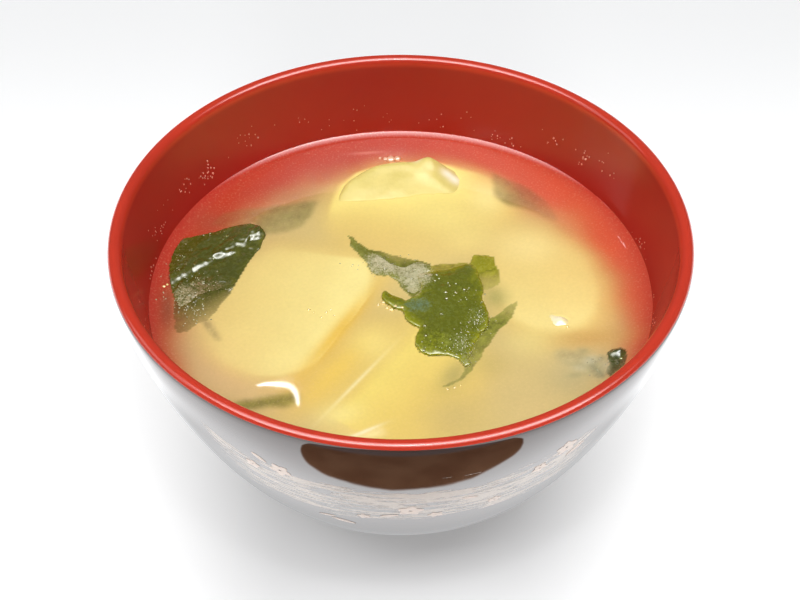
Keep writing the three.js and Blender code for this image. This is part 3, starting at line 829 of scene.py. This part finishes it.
# What lies under the surface shows through, sharp near it and spread wide further down.
chunk_clear = 5.0
leaf_clear = 1.5
chunk_deep = tone(226, 190, 96)
tallest = np.full(len(flat), -1e3)
chunk_tone = np.zeros((len(flat), 3))
for node, chunk in chunks.items():
    chunk_top = top_under(chunk)
    chunk_tone[chunk_top > tallest] = tone(*boiled[node][1])
    tallest = np.maximum(tallest, chunk_top)
chunk_depth = np.maximum(calm - tallest, 0.0)
seen = np.exp(-(chunk_depth / chunk_clear) ** 1.5)
colours = blend(colours, chunk_deep, 0.5 * blurred(seen, 3.2) * (1 - bleed))
seen = blend(blurred(seen, 0.36), seen, np.clip(1 - chunk_depth / 5.0, 0, 1))
hazy = np.maximum(np.clip((disc_x - 35) / 6, 0, 1), np.clip((0.3 * disc_y - disc_x - 25) / 8, 0, 1))
seen = blend(seen, blurred(seen, 1.6), hazy)
under = blend(chunk_tone, chunk_deep, np.clip(chunk_depth / 7, 0, 1))
colours = blend(colours, under, seen)
murk = np.clip((chunk_depth - 0.8) / 2.5, 0.001, 1)
smeared = np.stack([blurred(part * murk, 1.5) / blurred(murk, 1.5) for part in colours.T], 1)
colours = blend(colours, smeared, murk)
colours = washed(colours, [
    # painted shade on the sloping left face of the front chunk
    ((-12.5, -22), (13, 3.2), 0.97, (238, 202, 92), 0.75),
    # painted highlight along the ridge of the front chunk
    ((-8.6, -25.3), (9.5, 0.4), 0.956, (252, 242, 190), 0.55),
    # painted highlight along the ridge of the sliver
    ((-6.7, -37.7), (3.4, 0.4), 0.49, (255, 252, 222), 0.6),
    # the first wash here: painted shadow under the near edge of the right chunk
    ((37.5, -13.4), (8, 2.6), 0.12, (202, 160, 88), 0.7), ((11, -34.5), (7, 6), 0.2, (205, 182, 112), 0.95),
    ((14, 15.5), (5, 4), 0, (240, 216, 132), 0.6), ((36, -20.5), (5, 3.8), 0, (190, 182, 138), 0.6),
    # painted sheen streak on the soup behind the back chunk
    ((-7.6, 44.8), (3.4, 0.4), 0.1, (232, 150, 130), 0.5),
    # painted shadow along the right edge of the left chunk
    ((-12.6, -11.5), (13.5, 1.7), 1.06, (228, 184, 68), 0.85),
    ((-5.5, -14.5), (4.5, 5), 0, (248, 230, 138), 0.5), ((-12, -33.6), (4.5, 3), 0.3, (248, 234, 154), 0.55),
    ((9, 24), (12, 7), -0.3, (248, 234, 142), 0.5), ((19, 29.5), (4, 5), 0, (250, 238, 162), 0.5),
    ((27, 13.5), (7, 6), 0, (250, 232, 158), 0.5), ((25.5, -14.5), (5, 4), 0, (234, 218, 140), 0.5),
    ((33, -24.5), (5, 5), 0, (178, 168, 122), 0.55), ((-24, 29.5), (6, 3.5), 0.2, (168, 110, 70), 0.45),
    ((-16, 37), (5, 3), 0.3, (180, 98, 66), 0.4), ((36, 21), (4, 5), 0, (206, 148, 92), 0.4)])
leaf_unevenness = 1.0 + clouds((0.5, 0.7, 21.0), (0.4, 1.9, 23.0))
for name, leaf in leaves.items():
    leaf_top = top_under(leaf)
    shows = np.exp(-np.maximum(calm - leaf_top, 0.0) / leaf_clear)
    if leaf_looks[name]["lift"] < -0.1:
        shows = blurred(shows, min(0.8, -0.7 * leaf_looks[name]["lift"]))
    leaf_tone = tone(*leaf_looks[name]["deep"]) * leaf_unevenness[:, None]
    colours = blend(colours, leaf_tone, shows * (1 - 0.35 * bleed))
    tallest = np.maximum(tallest, leaf_top)
colours = washed(colours, [
    ((36, -16.8), (1.3, 0.9), 0, (148, 146, 106), 0.5),
    ((38.5, -22.3), (0.8, 2.2), 0.5, (142, 146, 110), 0.6),
    ((34, -23.3), (1.6, 0.7), 0.2, (158, 154, 110), 0.5),
    ((37.2, -19.4), (1.7, 1.1), 0.5, (206, 202, 168), 0.5),
    ((35, -21.4), (1.4, 0.9), 0, (200, 196, 158), 0.4), ((40, -20.8), (0.9, 1.4), 0, (196, 188, 150), 0.5),
    ((19.4, -1.6), (2.6, 3.4), 0, (166, 160, 92), 0.75),
    ((10.4, -23.2), (4.6, 2.4), 1.05, (170, 158, 96), 0.7),
    ((17.5, -20.5), (3.5, 3.5), 0, (196, 176, 104), 0.5), ((-47.2, -5), (1.9, 6.5), 0.1, (118, 66, 46), 0.6),
    ((-41, 21), (3.5, 4.5), 0, (146, 86, 64), 0.4)])

# The surface climbs the wall and the pieces that stand out of it.
heights = calm + climb * np.exp(-to_wall / climb_reach)
standing = np.nonzero(tallest > calm + 0.02)[0]
shore = KDTree(len(standing))
for number, index in enumerate(standing):
    shore.insert((disc_x[index], disc_y[index], 0.0), number)
shore.balance()
around = np.array([shore.find((x, y, 0.0))[2] for x, y in zip(disc_x, disc_y)])
heights += 0.16 * np.exp(-around / 0.9) * (around > 0) + clouds((0.012, 0.11, 1.0))
tone_layer = soup_bm.verts.layers.float_color.new("tone")
for vert, x, y, z, colour in zip(soup_bm.verts, disc_x, disc_y, heights, colours):
    vert.co = (x * MM, y * MM, z * MM)
    vert[tone_layer] = (*colour, 1.0)

# Below its surface the soup follows the wall down to the floor of the bowl.
inner_clearance = 0.3
for step in range(6, 0, -1):
    share = step / 7
    rim_edges = [e for e in soup_bm.edges if e.is_boundary]
    lowered = bmesh.ops.extrude_edge_only(soup_bm, edges=rim_edges)["geom"]
    ring = [v for v in lowered if isinstance(v, bmesh.types.BMVert)]
    depth = floor_height + 1 + (calm - floor_height - 1) * share
    across = max(r for r, z in inner_face if z <= depth) - inner_clearance
    for vert in ring:
        reach = math.hypot(vert.co.x, vert.co.y)
        vert.co = (vert.co.x / reach * across * MM, vert.co.y / reach * across * MM, depth * MM)
rim_edges = [e for e in soup_bm.edges if e.is_boundary]
closed = bmesh.ops.extrude_edge_only(soup_bm, edges=rim_edges)["geom"]
last_ring = [v for v in closed if isinstance(v, bmesh.types.BMVert)]
bmesh.ops.pointmerge(soup_bm, verts=last_ring, merge_co=(0.0, 0.0, (floor_height + 0.5) * MM))
bmesh.ops.recalc_face_normals(soup_bm, faces=soup_bm.faces)
soup = shown("miso_soup", soup_bm, smooth=True)
broth_paint, tree, shader = material("cloudy_broth", IOR=1.5)
tint = add(tree, "Attribute", {}, attribute_name="tone").outputs["Color"]
colour, height = mottled(tree, tint, 130.0, 0.05)
colour, fine_height = mottled(tree, colour, 1500.0, 0.06)
specks = remap(tree, noisy(tree, place_on(tree), 2400.0, 3.0), 0.50, 0.80, 0.0, 0.14)
feed(tree, shader, Base_Color=mix(tree, specks, colour, linear(244, 206, 160)),
     Roughness=remap(tree, height, 0.3, 0.7, 0.015, 0.035))
bumped(tree, shader, fine_height, 0.01, 0.00002)
soup.data.materials.append(broth_paint)
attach(soup, "root")
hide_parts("soup")

# ------------ bubbles on the leaves
# Small air bubbles that sit on the wet leaves, and milky foam caught round the middle leaf.
# Each is a little dome of soup skin.
random.seed(11)
dome_bm = bmesh.new()
bmesh.ops.create_uvsphere(dome_bm, u_segments=8, v_segments=5, radius=1.0)
dome = bpy.data.meshes.new("dome")
dome_bm.to_mesh(dome)
dome_bm.free()


def gathered(name, places):
    """One object of many small domes, each put where its matrix says."""
    many = bmesh.new()
    for place in places:
        dome.transform(place)
        many.from_mesh(dome)
        dome.transform(place.inverted())
    return shown(name, many, smooth=True)


def upright(x, y, z, size, flatness):
    """The place of a dome in millimetres that lies flat on the soup or a leaf."""
    return (Matrix.Translation(Vector((x, y, z)) * MM)
            @ Matrix.Diagonal((size * MM, size * MM, size * flatness * MM, 1.0)))


def cover_height(x, y):
    """The height in mm of whatever is on top at a place: leaf, potato or soup."""
    nearest = np.argmin((disc_x - x) ** 2 + (disc_y - y) ** 2)
    return max(tallest[nearest], heights[nearest])


# Single bubbles: the place and the size in mm.
bubble_spots = [
    (5.2, 4.1, 0.3), (7.4, 4.1, 0.45), (7, 2.1, 0.4), (7.9, 2.9, 0.3), (9.7, 1.4, 0.3), (11.3, 1.4, 0.3),
    (9.2, -1.4, 0.5), (9.3, -3.2, 0.45), (10, 0.6, 0.25), (13, -0.5, 0.4), (14, 0.2, 0.25),
    (13.4, -3.2, 0.25), (12.2, -3.4, 0.25), (4.8, -10.7, 0.45), (8.1, -7.3, 0.3), (5, -13.5, 0.4),
    (4.2, -15.1, 0.25), (4.6, -17.2, 0.35), (8.2, -15.3, 0.25), (43.3, -19, 0.45), (-39.1, 9.3, 0.3),
    (-42.8, 7.1, 0.25), (-36.8, 15.8, 0.3), (-46.4, 6, 0.2), (-45.2, 9.4, 0.2), (-43.8, 12, 0.2)]
# Bubbles on the bare soup and on what lies just under it.
clear_bubbles = [
    (-4.6, -3.9, 0.3), (-3.6, -3.4, 0.5), (-2.8, -4.8, 0.35), (-1.9, -5.4, 0.5), (-1, -4.8, 0.3),
    (0.3, -5.2, 0.3), (33.4, -10.2, 0.35), (-48.6, 1.2, 0.35), (-48, 1.8, 0.3), (-18.6, -5.2, 0.3),
    (-17.6, -6, 0.2), (-15, -6, 0.3), (-14.2, -5.2, 0.2), (-16, -7.4, 0.25), (-13.4, -7, 0.22), (9, -27, 0.3),
    (10.4, -26.6, 0.25), (11.6, -26, 0.2)]
# Middle of each patch of foam, its reach, how many bubbles it has and their sizes.
foam_patches = [
    ((13, -2), (2.6, 2.6), 12, (0.10, 0.2)), ((15.6, -8.4), (1.8, 3.4), 60, (0.08, 0.18)),
    ((13, -14.6), (1.8, 4), 70, (0.08, 0.18)), ((10, -16.6), (3, 1.8), 24, (0.08, 0.16)),
    ((-44, -1.6), (2.8, 3.4), 46, (0.08, 0.2)), ((-42.4, -6), (3.4, 3), 46, (0.08, 0.2)),
    ((-45, 6), (2.6, 6), 40, (0.07, 0.16)), ((-40, 2.6), (2.6, 2), 26, (0.08, 0.18)),
    ((-3, 8), (5, 2.6), 60, (0.08, 0.16)), ((2.6, 4), (2.6, 3.6), 50, (0.08, 0.16)),
    ((39, -20), (3, 2.6), 20, (0.08, 0.18)), ((-38, 16), (4.6, 1.4), 12, (0.08, 0.16))]


def film_material(name, tint, contrast):
    """A wet skin of soup over air, clear enough to glint."""
    made, tree, shader = material(name, Coat_Weight=1.0, Coat_Roughness=0.02, IOR=1.6)
    colour, height = mottled(tree, linear(*tint), 900.0, contrast)
    feed(tree, shader, Base_Color=colour, Roughness=remap(tree, height, 0.3, 0.7, 0.04, 0.12))
    return made


bubble_groups = {
    "leaf_bubbles": (bubble_spots, (112, 116, 34)),
    "soup_bubbles": (clear_bubbles, (236, 212, 136)),
    "foam_bubbles": ([(random.gauss(x, reach_x * 0.6), random.gauss(y, reach_y * 0.6), random.uniform(*sizes))
                      for (x, y), (reach_x, reach_y), count, sizes in foam_patches for _ in range(count)],
                     (158, 156, 112)),
    "back_bubbles": ([(-2.2, 42.4, 1.1), (-0.7, 42.7, 0.8), (-3.4, 42.6, 0.6), (-4.6, 42.9, 0.4)],
                     (226, 176, 140)),
}
for name, (spots, tint) in bubble_groups.items():
    places = [upright(x, y, cover_height(x, y) + size * 0.05, size, 0.7) for x, y, size in spots]
    bubbles = gathered(name, places)
    bubbles.data.materials.append(film_material(name + "_skin", tint, 0.25))
    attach(bubbles, "root")

# ------------ splashes on the wall
# Tiny drops of soup that splashed on the dry wall as the bowl was filled, left in loose groups.
splash_groups = [
    (130, 3, 52, 2.2, 12, (0.08, 0.2)), (143, 3.4, 49.8, 1.8, 24, (0.08, 0.24)),
    (152, 2.6, 51, 2, 12, (0.08, 0.2)), (165, 5, 50.4, 2.8, 18, (0.07, 0.18)),
    (175, 3, 44, 3, 9, (0.08, 0.2)), (50, 2.4, 51.6, 1.6, 8, (0.08, 0.2)),
    (42, 3.4, 51, 1.8, 12, (0.08, 0.24)), (33, 4, 53, 1.8, 9, (0.08, 0.2)), (12, 5, 46, 2.2, 12, (0.08, 0.2)),
    (63, 3.4, 47, 0.8, 12, (0.08, 0.2)), (80, 14, 49, 2.6, 15, (0.07, 0.16)),
    (110, 14, 50, 3.2, 15, (0.07, 0.15)), (-10, 6, 46, 2, 9, (0.08, 0.18)),
    (200, 14, 49, 3, 15, (0.07, 0.16)), (270, 50, 50, 3, 30, (0.07, 0.18))]


def inner_place(turn, height):
    """A point of the inner wall in metres and the direction that faces the bowl's middle."""
    radius, steep = wall_at(inner_face, height)
    outward = Vector((math.cos(turn), math.sin(turn), 0.0))
    facing = Vector((0.0, 0.0, math.cos(steep))) - outward * math.sin(steep)
    return (outward * radius + Vector((0.0, 0.0, height))) * MM, facing


splash_places = []
for turn, spread, height, rise, count, (least, most) in splash_groups:
    for _ in range(count):
        at_turn = math.radians(random.gauss(turn, spread * 0.6))
        at_height = min(59.0, max(calm + climb + 0.6, random.gauss(height, rise * 0.6)))
        point, facing = inner_place(at_turn, at_height)
        size = random.uniform(least, most) * MM
        turned_to = facing.to_track_quat("Z", "Y").to_matrix().to_4x4()
        splash_places.append(Matrix.Translation(point) @ turned_to
                             @ Matrix.Diagonal((size, size * random.uniform(1.0, 1.5), size * 0.55, 1.0)))
splashes = gathered("splashes", splash_places)
splashes.data.materials.append(film_material("splash_drops", (216, 128, 104), 0.5))
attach(splashes, "root")
